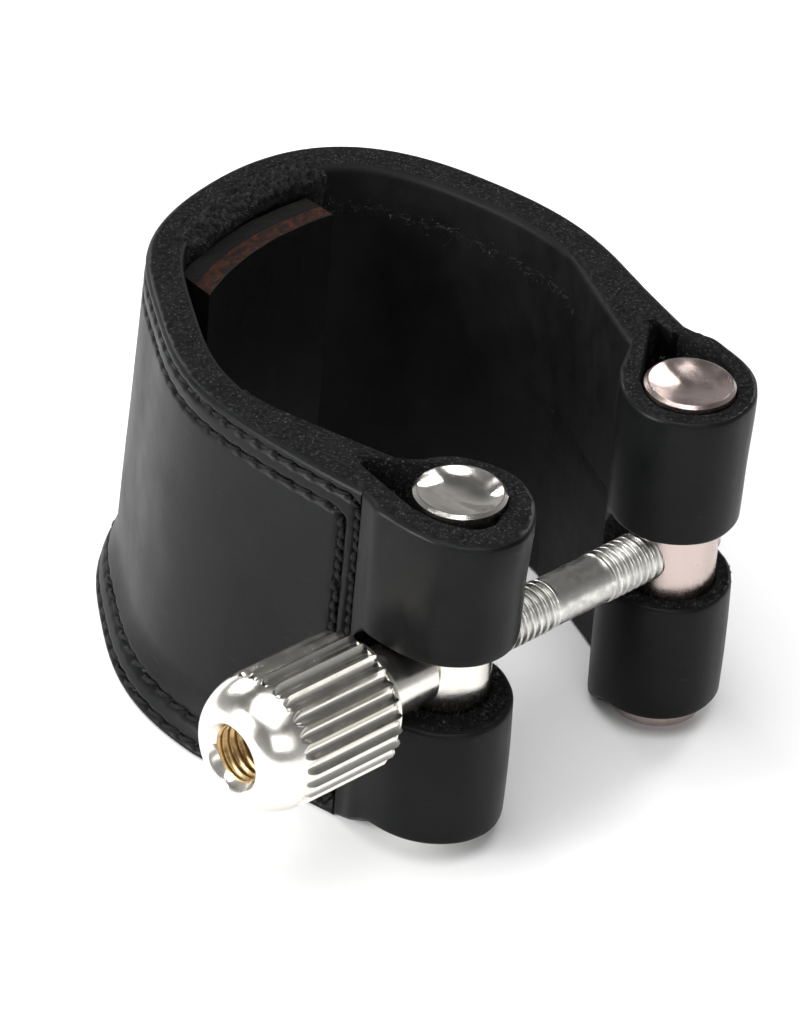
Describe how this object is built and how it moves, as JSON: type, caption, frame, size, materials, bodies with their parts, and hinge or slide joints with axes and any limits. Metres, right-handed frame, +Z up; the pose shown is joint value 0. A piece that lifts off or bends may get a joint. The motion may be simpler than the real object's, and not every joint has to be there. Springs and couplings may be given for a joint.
{
  "type": "saxophone mouthpiece ligature",
  "caption": "Tapered leather band, open at the front, closed by a fluted thumb nut on a stud through two pins held in leather loops.",
  "frame": {"origin": "on the axis of the band's hollow, in the plane of its lower edge, midway between the two pins in X", "axes": "+Z up along the mouthpiece towards the tip side, +X along the screw from the thumb nut's side to the tapped side, +Y from the screw towards the pressure plate"},
  "size_m": [0.0467, 0.0432, 0.0255],
  "materials": {
    "cover": "semi-gloss grained black leather",
    "strap": "smooth dark lining leather, matt cut edges",
    "suede": "rough suede",
    "plate_core": "brown leather board with a black face",
    "plate_backing": "grey leather board",
    "thread": "waxed black thread",
    "nickel": "polished nickel plate on brass",
    "steel": "turned steel"
  },
  "bodies": {
    "back": {"cover_back": "cover", "strap_back": "strap", "cover_thread_back": "thread", "pocket_pad": "suede"},
    "near_side": {"cover_near": "cover", "strap_near": "strap", "cover_thread_near": "thread", "lining_thread_near": "thread", "upper_loop_near": "cover", "lower_loop_near": "cover"},
    "far_side": {"cover_far": "cover", "strap_far": "strap", "cover_thread_far": "thread", "lining_thread_far": "thread", "upper_loop_far": "cover", "lower_loop_far": "cover"},
    "near_pin": {"near_pin": "nickel"},
    "far_pin_and_stud": {"far_pin": "nickel", "stud": "steel"},
    "bush": {"bush": "nickel"},
    "thumb_nut": {"thumb_nut": "nickel"},
    "pressure_plate": {"plate_face": "plate_core", "plate_backing": "plate_backing"}
  },
  "joints": [
    {"name": "near_side_flex", "type": "hinge", "parent": "back", "child": "near_side", "pos_m": [-0.008, 0.0085, 0.0126], "axis": [0, 0, 1], "range_deg": [0, 9.71]},
    {"name": "far_side_flex", "type": "hinge", "parent": "back", "child": "far_side", "pos_m": [0.008, 0.0132, 0.0126], "axis": [0, 0, 1], "range_deg": [-9.71, 0]},
    {"name": "near_pin_swivel", "type": "hinge", "parent": "near_side", "child": "near_pin", "pos_m": [-0.01015, -0.021, 0.01304], "axis": [0, 0, 1], "range_deg": [-9.71, 0]},
    {"name": "far_pin_swivel", "type": "hinge", "parent": "far_side", "child": "far_pin_and_stud", "pos_m": [0.01015, -0.021, 0.01304], "axis": [0, 0, 1], "range_deg": [0, 9.71]},
    {"name": "nut_travel", "type": "slide", "parent": "far_pin_and_stud", "child": "bush", "axis": [1, 0, 0], "range_m": [0, 0.0108]},
    {"name": "thumb_nut_turn", "type": "hinge", "parent": "bush", "child": "thumb_nut", "pos_m": [-0.023, -0.021, 0.01304], "axis": [1, 0, 0], "range_deg": [0, 6480]},
    {"name": "plate_slide", "type": "slide", "parent": "back", "child": "pressure_plate", "axis": [0, 0, 1], "range_m": [0, 0.018]}
  ],
  "couplings": [
    {"joint": "near_side_flex", "follows": "thumb_nut_turn", "ratio": 0.0014991},
    {"joint": "far_side_flex", "follows": "thumb_nut_turn", "ratio": -0.0014991},
    {"joint": "near_pin_swivel", "follows": "thumb_nut_turn", "ratio": -0.0014991},
    {"joint": "far_pin_swivel", "follows": "thumb_nut_turn", "ratio": 0.0014991},
    {"joint": "nut_travel", "follows": "thumb_nut_turn", "m_per_rad": 0.000095493}
  ]
}
